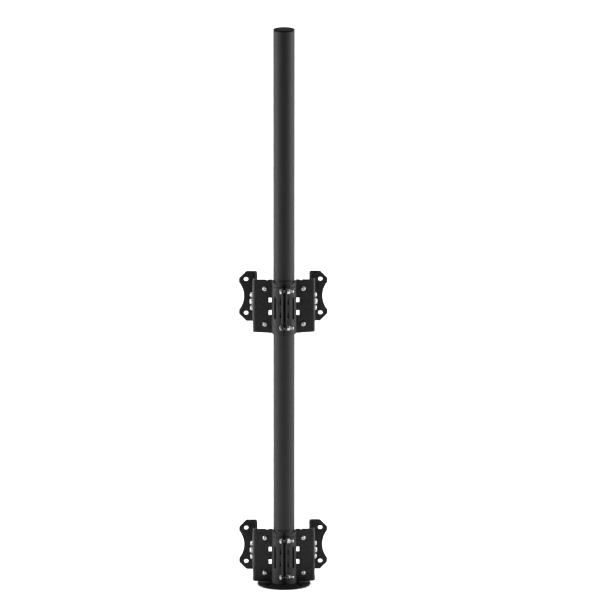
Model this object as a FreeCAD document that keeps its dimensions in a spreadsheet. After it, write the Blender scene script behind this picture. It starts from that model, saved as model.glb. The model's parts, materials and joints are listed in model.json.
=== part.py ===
import FreeCAD, Part
import os

import Sketcher

# A round pole on a bolted disc base, carrying two identical clamp-on display
# brackets. Millimetres. +Z is up, the origin is the centre of the underside
# of the base, and the clamp gap of each bracket faces -Y. A display hangs behind, on +Y.

Vector = FreeCAD.Vector
Rotation = FreeCAD.Rotation

# Driving dimensions: alias, value in millimetres or degrees, meaning.
DIMENSIONS = [
    ("overall_height", 1272, "floor to the top of the cap"),
    ("pole_diameter", 48.3, "outside of the pole tube"),
    ("pole_wall", 2.6, "wall of the pole tube"),
    ("base_diameter", 118, "base disc"),
    ("base_thickness", 4.5, "base disc"),
    ("base_edge_radius", 1.2, "rounding of the upper rim of the base"),
    ("base_hole_circle", 96, "pitch circle of the four fixing holes"),
    ("base_hole_bore", 7, "fixing hole"),
    ("base_countersink", 2.6, "width of the countersink chamfer"),
    ("foot_plug_length", 32, "plug inside the foot of the pole"),
    ("foot_plug_lead_in", 1.5, "bevel at the top of the plug"),
    ("foot_screw_diameter", 10, "centre screw"),
    ("foot_screw_length", 30, "centre screw, overall"),
    ("foot_screw_head", 9, "radius of the countersunk head"),
    ("foot_screw_socket", 3.5, "corner radius and depth of its hexagon socket"),
    ("dowel_diameter", 6, "two dowels that stop the pole turning"),
    ("dowel_circle", 30, "pitch circle of the dowels"),
    ("dowel_length", 16, "dowel"),
    ("cap_height", 4, "visible part of the pole cap"),
    ("cap_stem", 16, "part of the cap inside the tube"),
    ("cap_edge_radius", 2.6, "rounding of the cap"),
    ("slip_clearance", 0.1, "gap round pieces that are pushed together"),
    ("running_fit", 0.1, "radial gap between pole, liner and clamp"),
    ("liner_wall", 1, "plastic liner"),
    ("liner_height", 114, "plastic liner"),
    ("lower_bracket", 66.2, "height of the centre of the lower bracket"),
    ("upper_bracket", 639.5, "height of the centre of the upper bracket"),
    ("bracket_width", 139, "over the two side arms"),
    ("bracket_height", 123, "clamp halves, beside the pole"),
    ("lower_edge_rise", 2.8, "rise of the lower edge from the pole to the side arms"),
    ("clamp_sheet", 2.5, "sheet of clamp halves, straps and display plates"),
    ("clamp_gap", 4.5, "gap between left and right halves"),
    ("bend_radius", 3, "inside radius of a sheet bend"),
    ("corner_radius", 6, "rounded corners of straps, saddles and spacer blocks"),
    ("end_radius", 9, "rounded ends of the side arms and flanges"),
    ("strap_reach", 25.5, "ends of the straps from the centre plane"),
    ("strap_height", 94, "straps"),
    ("ear_depth", 16, "pinch ears in front of the strap"),
    ("ear_hole_back", 8, "pinch hole from the front edge of the ear"),
    ("pinch_rise", 41.6, "pinch bolts above and below the centre"),
    ("window_middle", 31, "see-through windows from the centre plane"),
    ("window_width", 6.2, "see-through windows"),
    ("window_height", 10.3, "see-through windows"),
    ("window_rise", 14.4, "windows above and below the centre"),
    ("long_slot_middle", 20.4, "long slots from the centre plane"),
    ("long_slot_width", 4, "long slots"),
    ("long_slot_height", 50, "long slots"),
    ("short_slot_middle", 8.6, "short slots from the centre plane"),
    ("short_slot_width", 3.1, "short slots"),
    ("short_slot_height", 12.4, "short slots"),
    ("notch_middle", 37.8, "bend marks in the upper edge from the centre plane"),
    ("notch_width", 7, "bend marks"),
    ("notch_depth", 2.2, "bend marks"),
    ("relief_inner", 15, "relief beside the pole, inner end"),
    ("relief_outer", 24.5, "relief beside the pole, outer end"),
    ("relief_depth", 9, "relief beside the pole, at its inner end"),
    ("relief_lip", 3, "relief beside the pole, at its outer end"),
    ("clamp_bolt_middle", 42.8, "clamp bolts from the centre plane"),
    ("clamp_bolt_rise", 40.5, "clamp bolts above and below the centre"),
    ("saddle_sheet", 3, "rear saddles"),
    ("saddle_height", 24, "rear saddles"),
    ("saddle_reach", 54, "ends of the saddle feet from the centre plane"),
    ("saddle_setback", 6, "front of the saddle feet behind the pole axis"),
    ("saddle_overlap", 1, "how far the saddle feet run into their wrap"),
    ("arm_reach", 67, "side arms behind the pole axis"),
    ("arm_end_height", 60, "height of the end of a side arm"),
    ("arm_taper_start", 8, "where the side arm starts to taper"),
    ("tilt_back", 52, "tilt axis behind the pole axis"),
    ("lock_rise", 15, "lock screws above and below the tilt axis"),
    ("lock_slot_length", 15, "slot for a lock screw"),
    ("lock_slot_width", 7.4, "slot for a lock screw"),
    ("block_thickness", 6.1, "spacer block beside each side arm"),
    ("block_width", 20, "spacer block"),
    ("block_height", 48, "spacer block"),
    ("face_clearance", 0.2, "gap between the spacer block and the side arm"),
    ("plate_front", 78, "front of the display plates behind the pole axis"),
    ("plate_rise", 6.5, "centre of the display plates above the bracket centre"),
    ("plate_height", 115, "display plates"),
    ("plate_span", 198.5, "over both display plates"),
    ("plate_corner", 16.6, "cut corners of the display plates"),
    ("plate_waist_radius", 51, "hollow outer edge of a display plate"),
    ("plate_waist_depth", 11, "hollow outer edge of a display plate"),
    ("plate_tip_radius", 5, "rounded tips of a display plate"),
    ("flange_top", 14, "level ends of a flange in front of its display plate"),
    ("flange_bevel", 2.2, "bevelled ends of a flange's bend"),
    ("display_hole_span", 166.6, "display holes, left to right"),
    ("display_hole_rise", 77.3, "display holes, bottom to top"),
    ("display_slot_bore", 8.4, "display slot, height"),
    ("display_slot_extra", 1.4, "display slot, length beyond its height"),
    ("rod_diameter", 10, "spreader rods between the display plates"),
    ("rod_back", 66, "spreader rods behind the pole axis"),
    ("upper_rod_rise", 28, "upper spreader rod above the bracket centre"),
    ("lower_rod_drop", 42, "lower spreader rod below the bracket centre"),
    ("large_thread", 8, "pivot bolts"),
    ("small_thread", 6, "all other bracket bolts and screws"),
    ("hole_clearance", 0.4, "bolt hole over bolt diameter"),
    ("pivot_clearance", 0.2, "pivot hole over pivot diameter"),
    ("large_head", 6.6, "radius of a large round head"),
    ("large_head_height", 4.4, "large round head"),
    ("large_head_rounding", 2.7, "large round head"),
    ("large_socket", 2.9, "corner radius of the socket in a large head"),
    ("large_socket_depth", 2.4, "socket in a large head"),
    ("small_head", 5.4, "radius of a small round head"),
    ("small_head_height", 3.3, "small round head"),
    ("small_head_rounding", 2, "small round head"),
    ("small_socket", 2.2, "corner radius of the socket in a small head"),
    ("small_socket_depth", 1.8, "socket in a small head"),
    ("large_hex", 7.5, "corner radius of a large nut"),
    ("large_nut_height", 6.4, "large nut"),
    ("large_collar", 5.7, "radius of the locking collar of a large nut"),
    ("small_hex", 5.77, "corner radius of a small nut or hexagon head"),
    ("small_hex_height", 4, "small hexagon head"),
    ("small_nut_height", 5, "small nut"),
    ("small_collar", 4.4, "radius of the locking collar of a small nut"),
    ("nut_collar_height", 1.5, "locking collar on a nut"),
    ("large_washer", 8, "radius of a large washer"),
    ("small_washer", 6, "radius of a small washer"),
    ("washer_thickness", 1.6, "all washers"),
    ("thread_end", 2.5, "bolt end past its nut"),
    ("pinch_thread_end", 8, "pinch bolt end past its nut"),
]

# Sizes that follow from the driving dimensions: alias, formula.
WORKED_OUT = [
    ("pole_radius", "dims.pole_diameter / 2"),
    ("bore_radius", "dims.pole_diameter / 2 - dims.pole_wall"),
    ("tube_length", "dims.overall_height - dims.base_thickness - dims.cap_height"),
    ("liner_inner", "dims.pole_diameter / 2 + dims.running_fit"),
    ("liner_outer", "dims.pole_diameter / 2 + dims.running_fit + dims.liner_wall"),
    ("wrap_inner", "dims.pole_diameter / 2 + 2 * dims.running_fit + dims.liner_wall"),
    ("wrap_outer", "dims.pole_diameter / 2 + 2 * dims.running_fit + dims.liner_wall"
                   " + dims.clamp_sheet"),
    ("strap_inner", "dims.pole_diameter / 2 + 2 * dims.running_fit + dims.liner_wall"
                    " + dims.clamp_sheet"),
    ("strap_outer", "dims.pole_diameter / 2 + 2 * dims.running_fit + dims.liner_wall"
                    " + 2 * dims.clamp_sheet"),
    ("gap_half", "dims.clamp_gap / 2"),
    ("ear_outer", "dims.clamp_gap / 2 + dims.clamp_sheet"),
    ("ear_front", "dims.pole_diameter / 2 + 2 * dims.running_fit + dims.liner_wall"
                  " + 2 * dims.clamp_sheet + dims.ear_depth"),
    ("arm_outer", "dims.bracket_width / 2"),
    ("arm_inner", "dims.bracket_width / 2 - dims.clamp_sheet"),
    ("half_sheet", "dims.clamp_sheet / 2"),
    ("wing_outer", "dims.bracket_width / 2 - dims.clamp_sheet - dims.block_thickness"
                   " - dims.face_clearance"),
    ("wing_inner", "dims.bracket_width / 2 - 2 * dims.clamp_sheet - dims.block_thickness"
                   " - dims.face_clearance"),
    ("plate_top", "dims.plate_rise + dims.plate_height / 2"),
    ("plate_bottom", "dims.plate_rise - dims.plate_height / 2"),
    ("far_away", "dims.bracket_width + dims.arm_reach + dims.bracket_height"),
]

SIDES = {"left": "-1", "right": "1"}
BRACKETS = {"lower": "dims.lower_bracket", "upper": "dims.upper_bracket"}

doc = FreeCAD.newDocument("pole_mount")
nodes = []


# ---------------------------------------------------------------- document helpers

def make_sheet(label, rows):
    sheet = doc.addObject("Spreadsheet::Sheet", label)
    for row, entry in enumerate(rows, start=1):
        sheet.set(f"A{row}", entry[0])
        sheet.set(f"B{row}", entry[1] if isinstance(entry[1], str) else str(entry[1]))
        sheet.setAlias(f"B{row}", entry[0])
        if len(entry) > 2:
            sheet.set(f"C{row}", entry[2])
    doc.recompute()
    return sheet


def new_body(label, height="0"):
    """A body whose own centre sits at a height on the pole axis."""
    body = doc.addObject("PartDesign::Body", label)
    body.Label = label
    body.setExpression("Placement.Base.z", height)
    nodes.append(body)
    return body


def new_sketch(body, name, plane_role, offset="0"):
    """A sketch on one of the body's own planes, moved along that plane's normal.

    On the XZ plane the normal is -Y, on the YZ plane it is +X and on the XY plane +Z.
    """
    sketch = body.newObject("Sketcher::SketchObject", name)
    plane = [item for item in body.Origin.OriginFeatures if item.Role == plane_role][0]
    sketch.AttachmentSupport = [(plane, "")]
    sketch.MapMode = "FlatFace"
    sketch.setExpression("AttachmentOffset.Base.z", offset)
    return sketch


def bind(sketch, constraint, expression):
    index = sketch.addConstraint(constraint)
    sketch.setExpression(f"Constraints[{index}]", expression)


def pin_point(sketch, geometry, point, place, start=(1.0, 1.0)):
    """Hold one point of a piece of geometry at a pair of expressions."""
    bind(sketch, Sketcher.Constraint("DistanceX", -1, 1, geometry, point, start[0]), place[0])
    bind(sketch, Sketcher.Constraint("DistanceY", -1, 1, geometry, point, start[1]), place[1])


def draw_polygon(sketch, places):
    """A closed outline of straight lines through the given pairs of expressions."""
    turn = Rotation(Vector(0, 0, 1), 360 / len(places))
    corner = Vector(50, 0, 0)
    first = sketch.GeometryCount
    for _ in places:
        following = turn.multVec(corner)
        sketch.addGeometry(Part.LineSegment(corner, following))
        corner = following
    for index, place in enumerate(places):
        line = first + index
        after = first + (index + 1) % len(places)
        sketch.addConstraint(Sketcher.Constraint("Coincident", line, 2, after, 1))
        pin_point(sketch, line, 1, place)


def draw_rectangle(sketch, left, right, bottom, top):
    draw_polygon(sketch, [(left, bottom), (right, bottom), (right, top), (left, top)])


def draw_circle(sketch, place, radius):
    index = sketch.addGeometry(Part.Circle(Vector(0, 0, 0), Vector(0, 0, 1), 5))
    bind(sketch, Sketcher.Constraint("Radius", index, 5.0), radius)
    pin_point(sketch, index, 3, place)


def draw_slot(sketch, place, bore, extra):
    """A level slot with round ends: its height is bore and its length bore + extra."""
    across = f"({place[0]})"
    radius = f"({bore}) / 2"
    top = f"({place[1]}) + {radius}"
    bottom = f"({place[1]}) - {radius}"
    left = f"{across} - ({extra}) / 2"
    right = f"{across} + ({extra}) / 2"
    quarter = 1.5708
    size = 5.0
    normal = Vector(0, 0, 1)
    first = sketch.GeometryCount
    left_circle = Part.Circle(Vector(-size, 0, 0), normal, size)
    right_circle = Part.Circle(Vector(size, 0, 0), normal, size)
    sketch.addGeometry(Part.ArcOfCircle(left_circle, quarter, 3 * quarter))
    sketch.addGeometry(Part.LineSegment(Vector(-size, -size, 0), Vector(size, -size, 0)))
    sketch.addGeometry(Part.ArcOfCircle(right_circle, -quarter, quarter))
    sketch.addGeometry(Part.LineSegment(Vector(size, size, 0), Vector(-size, size, 0)))
    for index in range(4):
        after = first + (index + 1) % 4
        sketch.addConstraint(Sketcher.Constraint("Coincident", first + index, 2, after, 1))
    pin_point(sketch, first, 1, (left, top), (-size, size))
    pin_point(sketch, first, 2, (left, bottom), (-size, -size))
    pin_point(sketch, first + 2, 1, (right, bottom), (size, -size))
    pin_point(sketch, first + 2, 2, (right, top), (size, size))
    bind(sketch, Sketcher.Constraint("DistanceX", -1, 1, first, 3, -size), left)
    bind(sketch, Sketcher.Constraint("DistanceX", -1, 1, first + 2, 3, size), right)


def pad(body, sketch, length, name, symmetric=False):
    feature = body.newObject("PartDesign::Pad", name)
    feature.Profile = sketch
    feature.SideType = "Symmetric" if symmetric else "One side"
    feature.setExpression("Length", length)
    return feature


def cut_through(body, sketch, name):
    """Cut the sketch through the whole body, both ways from its plane."""
    feature = body.newObject("PartDesign::Pocket", name)
    feature.Profile = sketch
    feature.Type = "ThroughAll"
    feature.SideType = "Symmetric"
    return feature


def edges_where(shape, test):
    return [f"Edge{index}" for index, edge in enumerate(shape.Edges, start=1) if test(edge)]


def upright_at(across, back):
    """A test for an edge along Z at one place in plan."""
    def test(edge):
        ends = [vertex.Point for vertex in edge.Vertexes]
        if len(ends) != 2:
            return False
        target = Vector(across, back, 0)
        return all(Vector(end.x, end.y, 0).distanceToPoint(target) < 0.02 for end in ends)
    return test


def level_back_at(across, height):
    """A test for an edge along Y at one place in the front view."""
    def test(edge):
        ends = [vertex.Point for vertex in edge.Vertexes]
        if len(ends) != 2:
            return False
        target = Vector(across, 0, height)
        return all(Vector(end.x, 0, end.z).distanceToPoint(target) < 0.02 for end in ends)
    return test


def across_at(back, height):
    """A test for an edge along X at one place in the side view."""
    def test(edge):
        ends = [vertex.Point for vertex in edge.Vertexes]
        if len(ends) != 2:
            return False
        target = Vector(0, back, height)
        return all(Vector(0, end.y, end.z).distanceToPoint(target) < 0.02 for end in ends)
    return test


def rim_at(height, radius):
    """A test for a circular edge of one radius at one height."""
    def test(edge):
        curve = edge.Curve
        return (isinstance(curve, Part.Circle)
                and abs(curve.Radius - radius) < 0.01
                and abs(curve.Center.z - height) < 0.01)
    return test


def round_edges(body, base, test, radius, name):
    doc.recompute()
    names = edges_where(base.Shape, test)
    if not names:
        raise RuntimeError(f"{body.Label}: no edge found for {name}")
    feature = body.newObject("PartDesign::Fillet", name)
    feature.Base = (base, names)
    feature.setExpression("Radius", radius)
    return feature


def bevel_edges(body, base, test, size, name):
    doc.recompute()
    names = edges_where(base.Shape, test)
    if not names:
        raise RuntimeError(f"{body.Label}: no edge found for {name}")
    feature = body.newObject("PartDesign::Chamfer", name)
    feature.Base = (base, names)
    feature.setExpression("Size", size)
    return feature


# ---------------------------------------------------------------- pole and base

def make_base_plate():
    body = new_body("base_plate")
    outline = new_sketch(body, "outline", "XY_Plane")
    draw_circle(outline, ("0", "0"), "dims.base_diameter / 2")
    disc = pad(body, outline, "dims.base_thickness", "disc")

    centre = new_sketch(body, "centre_and_dowel_holes", "XY_Plane")
    draw_circle(centre, ("0", "0"),
                "dims.foot_screw_diameter / 2 + dims.hole_clearance / 2")
    for side in SIDES.values():
        draw_circle(centre, (f"{side} * dims.dowel_circle / 2", "0"),
                    "dims.dowel_diameter / 2 + dims.slip_clearance / 2")
    cut_through(body, centre, "centre_and_dowel_cut")

    fixing = new_sketch(body, "fixing_hole", "XY_Plane")
    draw_circle(fixing, ("dims.base_hole_circle / 2 * cos(45)",
                         "dims.base_hole_circle / 2 * sin(45)"), "dims.base_hole_bore / 2")
    hole = cut_through(body, fixing, "fixing_cut")
    doc.recompute()
    pattern = body.newObject("PartDesign::PolarPattern", "fixing_holes")
    pattern.Originals = [hole]
    axis = [item for item in body.Origin.OriginFeatures if item.Role == "Z_Axis"][0]
    pattern.Axis = (axis, [""])
    pattern.Angle = 360
    pattern.Occurrences = 4
    body.Tip = pattern
    bevel_edges(body, pattern, rim_at(dims.base_thickness, dims.base_hole_bore / 2),
                "dims.base_countersink", "countersinks")

    cone = new_sketch(body, "screw_head_profile", "XZ_Plane")
    draw_polygon(cone, [
        ("0", "0"),
        ("dims.foot_screw_head + dims.slip_clearance", "0"),
        ("dims.foot_screw_diameter / 2",
         "dims.foot_screw_head + dims.slip_clearance - dims.foot_screw_diameter / 2"),
        ("0", "dims.foot_screw_head + dims.slip_clearance - dims.foot_screw_diameter / 2"),
    ])
    groove = body.newObject("PartDesign::Groove", "screw_head_seat")
    groove.Profile = cone
    groove.ReferenceAxis = (cone, ["V_Axis"])
    groove.Angle = 360
    round_edges(body, groove, rim_at(dims.base_thickness, dims.base_diameter / 2),
                "dims.base_edge_radius", "rim_rounding")


def make_pole_tube():
    body = new_body("pole_tube", "dims.base_thickness")
    outline = new_sketch(body, "ring", "XY_Plane")
    draw_circle(outline, ("0", "0"), "work.pole_radius")
    draw_circle(outline, ("0", "0"), "work.bore_radius")
    pad(body, outline, "work.tube_length", "tube")


def make_foot_plug():
    body = new_body("pole_foot_plug", "dims.base_thickness")
    outline = new_sketch(body, "outline", "XY_Plane")
    draw_circle(outline, ("0", "0"), "work.bore_radius - dims.slip_clearance")
    draw_circle(outline, ("0", "0"), "dims.foot_screw_diameter / 2 + dims.slip_clearance / 2")
    for side in SIDES.values():
        draw_circle(outline, (f"{side} * dims.dowel_circle / 2", "0"),
                    "dims.dowel_diameter / 2 + dims.slip_clearance / 2")
    plug = pad(body, outline, "dims.foot_plug_length", "plug")
    bevel_edges(body, plug,
                rim_at(dims.foot_plug_length, work.bore_radius - dims.slip_clearance),
                "dims.foot_plug_lead_in", "lead_in")


def make_foot_screw():
    cone = doc.addObject("Part::Cone", "foot_screw_head_cone")
    cone.setExpression("Radius1", "dims.foot_screw_head")
    cone.setExpression("Radius2", "dims.foot_screw_diameter / 2")
    cone.setExpression("Height", "dims.foot_screw_head - dims.foot_screw_diameter / 2")
    shank = cylinder("foot_screw_shank", "dims.foot_screw_diameter / 2",
                     "dims.foot_screw_length")
    blank = fuse("foot_screw_blank", [cone, shank])
    socket = hexagon("foot_screw_socket", "dims.foot_screw_socket", "dims.foot_screw_socket")
    screw = cut("base_screw", blank, socket)
    screw.setExpression("Placement.Base.z", "dims.slip_clearance")
    nodes.append(screw)


def make_dowels():
    pin = cylinder("dowel_pin", "dims.dowel_diameter / 2", "dims.dowel_length")
    pins = []
    for side, sign in SIDES.items():
        place = (f"{sign} * dims.dowel_circle / 2", "0", "0")
        pins.append(copy_of(pin, f"dowel_{side}", place, Rotation()))
    group("base_dowels", pins, "dims.slip_clearance")


def make_pole_cap():
    body = new_body("pole_cap", "dims.base_thickness + work.tube_length")
    rim = new_sketch(body, "rim", "XY_Plane")
    draw_circle(rim, ("0", "0"), "work.pole_radius")
    head = pad(body, rim, "dims.cap_height", "head")
    round_edges(body, head, rim_at(dims.cap_height, work.pole_radius),
                "dims.cap_edge_radius", "dome_rounding")
    stem = new_sketch(body, "stem_ring", "XY_Plane", "-dims.cap_stem")
    draw_circle(stem, ("0", "0"), "work.bore_radius - dims.slip_clearance")
    draw_circle(stem, ("0", "0"), "work.bore_radius - dims.slip_clearance - dims.pole_wall")
    pad(body, stem, "dims.cap_stem", "stem")


# ---------------------------------------------------------------- clamp round the pole

def draw_ring(sketch, inner, outer):
    draw_circle(sketch, ("0", "0"), outer)
    draw_circle(sketch, ("0", "0"), inner)


def keep_front_quarter(sketch, sign, back_limit):
    """Outline of what is cut from a full ring, to leave one front quarter of it."""
    gap = f"{sign} * work.gap_half"
    draw_polygon(sketch, [
        (gap, "-work.far_away"),
        (gap, back_limit),
        (f"{sign} * work.far_away", back_limit),
        (f"{sign} * work.far_away", "work.far_away"),
        (f"-({sign}) * work.far_away", "work.far_away"),
        (f"-({sign}) * work.far_away", "-work.far_away"),
    ])


def draw_windows(sketch, sign, middle, width, height, rises):
    """Upright rectangular openings at one distance from the centre plane."""
    for rise in rises:
        draw_rectangle(sketch,
                       f"{sign} * {middle} - {width} / 2", f"{sign} * {middle} + {width} / 2",
                       f"{rise} - {height} / 2", f"{rise} + {height} / 2")


def cut_front_openings(body, sign):
    """The openings that pass through both the clamp half and its strap."""
    rises = ["-dims.window_rise", "dims.window_rise"]
    openings = new_sketch(body, "openings", "XZ_Plane")
    draw_windows(openings, sign, "dims.window_middle", "dims.window_width",
                 "dims.window_height", rises)
    draw_windows(openings, sign, "dims.short_slot_middle", "dims.short_slot_width",
                 "dims.short_slot_height", rises)
    draw_windows(openings, sign, "dims.long_slot_middle", "dims.long_slot_width",
                 "dims.long_slot_height", ["0"])
    return cut_through(body, openings, "openings_cut")


def make_pole_liner(bracket, side):
    sign = SIDES[side]
    body = new_body(f"{bracket}_pole_liner_{side}", BRACKETS[bracket])
    ring = new_sketch(body, "ring", "XY_Plane", "-dims.liner_height / 2")
    draw_ring(ring, "work.liner_inner", "work.liner_outer")
    pad(body, ring, "dims.liner_height", "sleeve")
    waste = new_sketch(body, "waste", "XY_Plane")
    draw_rectangle(waste, f"{sign} * work.gap_half", f"-({sign}) * work.far_away",
                   "-work.far_away", "work.far_away")
    cut_through(body, waste, "split")


def make_clamp_half(bracket, side):
    """One pressed sheet: quarter wrap round the pole, flat face plate and side arm."""
    sign = SIDES[side]
    body = new_body(f"{bracket}_clamp_half_{side}", BRACKETS[bracket])
    bottom = "-dims.bracket_height / 2"
    ring = new_sketch(body, "wrap_ring", "XY_Plane", bottom)
    draw_ring(ring, "work.wrap_inner", "work.wrap_outer")
    pad(body, ring, "dims.bracket_height", "wrap")
    waste = new_sketch(body, "wrap_waste", "XY_Plane")
    keep_front_quarter(waste, sign, "work.half_sheet")
    cut_through(body, waste, "wrap_cut")

    angle = new_sketch(body, "plate_and_arm", "XY_Plane", bottom)
    draw_polygon(angle, [
        (f"{sign} * (work.wrap_inner + work.half_sheet)", "-work.half_sheet"),
        (f"{sign} * work.arm_outer", "-work.half_sheet"),
        (f"{sign} * work.arm_outer", "dims.arm_reach"),
        (f"{sign} * work.arm_inner", "dims.arm_reach"),
        (f"{sign} * work.arm_inner", "work.half_sheet"),
        (f"{sign} * (work.wrap_inner + work.half_sheet)", "work.half_sheet"),
    ])
    blank = pad(body, angle, "dims.bracket_height", "angle")
    direction = float(sign)
    outer_bend = round_edges(body, blank,
                             upright_at(direction * work.arm_outer, -work.half_sheet),
                             "dims.bend_radius + dims.clamp_sheet", "outer_bend")
    inner_bend = round_edges(body, outer_bend,
                             upright_at(direction * work.arm_inner, work.half_sheet),
                             "dims.bend_radius", "inner_bend")

    tapers = new_sketch(body, "arm_tapers", "YZ_Plane")
    for up in ("-1", "1"):
        draw_polygon(tapers, [
            ("dims.arm_taper_start", f"{up} * dims.bracket_height / 2"),
            ("dims.arm_reach", f"{up} * dims.arm_end_height / 2"),
            ("work.far_away", f"{up} * dims.arm_end_height / 2"),
            ("work.far_away", f"{up} * work.far_away"),
            ("dims.arm_taper_start", f"{up} * work.far_away"),
        ])
    tapered = cut_through(body, tapers, "arm_taper_cut")
    rounded = tapered
    for rise in (-1, 1):
        corner = across_at(dims.arm_reach, rise * dims.arm_end_height / 2)
        name = "arm_end_upper" if rise > 0 else "arm_end_lower"
        rounded = round_edges(body, rounded, corner, "dims.end_radius", name)

    pivot = new_sketch(body, "pivot_and_lock_slots", "YZ_Plane")
    draw_circle(pivot, ("dims.tilt_back", "0"),
                "(dims.large_thread + dims.pivot_clearance) / 2")
    for up in ("-1", "1"):
        draw_slot(pivot, ("dims.tilt_back", f"{up} * dims.lock_rise"),
                  "dims.lock_slot_width", "dims.lock_slot_length - dims.lock_slot_width")
    cut_through(body, pivot, "pivot_cut")

    cut_front_openings(body, sign)
    front = new_sketch(body, "bolt_holes_and_edges", "XZ_Plane")
    for up in ("-1", "1"):
        draw_circle(front, (f"{sign} * dims.clamp_bolt_middle", f"{up} * dims.clamp_bolt_rise"),
                    "(dims.small_thread + dims.hole_clearance) / 2")
    top = "dims.bracket_height / 2"
    draw_polygon(front, [
        (f"{sign} * (dims.notch_middle - dims.notch_width)", f"{top} + dims.notch_depth"),
        (f"{sign} * dims.notch_middle", f"{top} - dims.notch_depth"),
        (f"{sign} * (dims.notch_middle + dims.notch_width)", f"{top} + dims.notch_depth"),
    ])
    draw_polygon(front, [
        (f"{sign} * dims.relief_outer", f"{top} + dims.relief_lip"),
        (f"{sign} * dims.relief_outer", f"{top} - dims.relief_lip"),
        (f"{sign} * dims.relief_inner", f"{top} - dims.relief_depth"),
        (f"{sign} * (dims.relief_inner + dims.relief_outer) / 2", f"{top} + dims.relief_lip"),
    ])
    draw_polygon(front, [
        (f"{sign} * work.wrap_outer", bottom),
        (f"{sign} * work.arm_outer", f"{bottom} + dims.lower_edge_rise"),
        (f"{sign} * work.far_away", f"{bottom} + dims.lower_edge_rise"),
        (f"{sign} * work.far_away", "-work.far_away"),
        (f"{sign} * work.wrap_outer", "-work.far_away"),
    ])
    cut_through(body, front, "bolt_holes_and_edges_cut")


def make_clamp_strap(bracket, side):
    """The layer welded on over the wrap, with the ear that the pinch bolts pull on."""
    sign = SIDES[side]
    body = new_body(f"{bracket}_clamp_strap_{side}", BRACKETS[bracket])
    bottom = "-dims.strap_height / 2"
    ring = new_sketch(body, "wrap_ring", "XY_Plane", bottom)
    draw_ring(ring, "work.strap_inner", "work.strap_outer")
    pad(body, ring, "dims.strap_height", "wrap")
    waste = new_sketch(body, "wrap_waste", "XY_Plane")
    keep_front_quarter(waste, sign, "-work.half_sheet")
    cut_through(body, waste, "wrap_cut")
    past_end = new_sketch(body, "past_the_end", "XY_Plane")
    draw_rectangle(past_end, f"{sign} * dims.strap_reach", f"{sign} * work.far_away",
                   "-work.far_away", "work.far_away")
    cut_through(body, past_end, "end_cut")

    ear = new_sketch(body, "ear_outline", "XY_Plane", bottom)
    draw_rectangle(ear, f"{sign} * work.gap_half", f"{sign} * work.ear_outer",
                   "-work.ear_front", "-work.strap_inner")
    padded = pad(body, ear, "dims.strap_height", "ear")
    direction = float(sign)
    root_back = (work.strap_outer ** 2 - work.ear_outer ** 2) ** 0.5
    root = round_edges(body, padded, upright_at(direction * work.ear_outer, -root_back),
                       "dims.bend_radius", "ear_bend")
    half = dims.strap_height / 2
    corners = root
    for rise in (-1, 1):
        name = "ear_corner_upper" if rise > 0 else "ear_corner_lower"
        corners = round_edges(body, corners, across_at(-work.ear_front, rise * half),
                              "dims.corner_radius", name)

    holes = new_sketch(body, "pinch_holes", "YZ_Plane")
    for up in ("-1", "1"):
        draw_circle(holes, ("dims.ear_hole_back - work.ear_front", f"{up} * dims.pinch_rise"),
                    "(dims.small_thread + dims.hole_clearance) / 2")
    cut_through(body, holes, "pinch_hole_cut")
    cut_front_openings(body, sign)


def make_saddle(bracket, level, up):
    """A strap behind the pole, with a foot on each side for the clamp bolts."""
    body = new_body(f"{bracket}_saddle_{level}",
                    f"{BRACKETS[bracket]} + ({up}) * dims.clamp_bolt_rise")
    bottom = "-dims.saddle_height / 2"
    outer = "work.wrap_inner + dims.saddle_sheet"
    ring = new_sketch(body, "ring", "XY_Plane", bottom)
    draw_ring(ring, "work.wrap_inner", outer)
    pad(body, ring, "dims.saddle_height", "wrap")
    waste = new_sketch(body, "waste", "XY_Plane")
    draw_rectangle(waste, "-work.far_away", "work.far_away", "-work.far_away",
                   "dims.saddle_setback")
    cut_through(body, waste, "wrap_cut")
    feet = new_sketch(body, "feet_outline", "XY_Plane", bottom)
    for sign in SIDES.values():
        draw_rectangle(feet, f"{sign} * (work.wrap_inner + dims.saddle_overlap)",
                       f"{sign} * dims.saddle_reach",
                       "dims.saddle_setback", "dims.saddle_setback + dims.saddle_sheet")
    padded = pad(body, feet, "dims.saddle_height", "feet")
    rear = dims.saddle_setback + dims.saddle_sheet
    root = ((work.wrap_inner + dims.saddle_sheet) ** 2 - rear ** 2) ** 0.5
    bent = padded
    for side, sign in SIDES.items():
        bent = round_edges(body, bent, upright_at(float(sign) * root, rear),
                           "dims.bend_radius", f"foot_bend_{side}")
    for side, sign in SIDES.items():
        for rise in (-1, 1):
            corner = level_back_at(float(sign) * dims.saddle_reach,
                                   rise * dims.saddle_height / 2)
            name = f"foot_corner_{side}_{'upper' if rise > 0 else 'lower'}"
            bent = round_edges(body, bent, corner, "dims.corner_radius", name)
    holes = new_sketch(body, "bolt_holes", "XZ_Plane")
    for sign in SIDES.values():
        draw_circle(holes, (f"{sign} * dims.clamp_bolt_middle", "0"),
                    "(dims.small_thread + dims.hole_clearance) / 2")
    cut_through(body, holes, "bolt_hole_cut")


# ---------------------------------------------------------------- tilting display head

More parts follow.
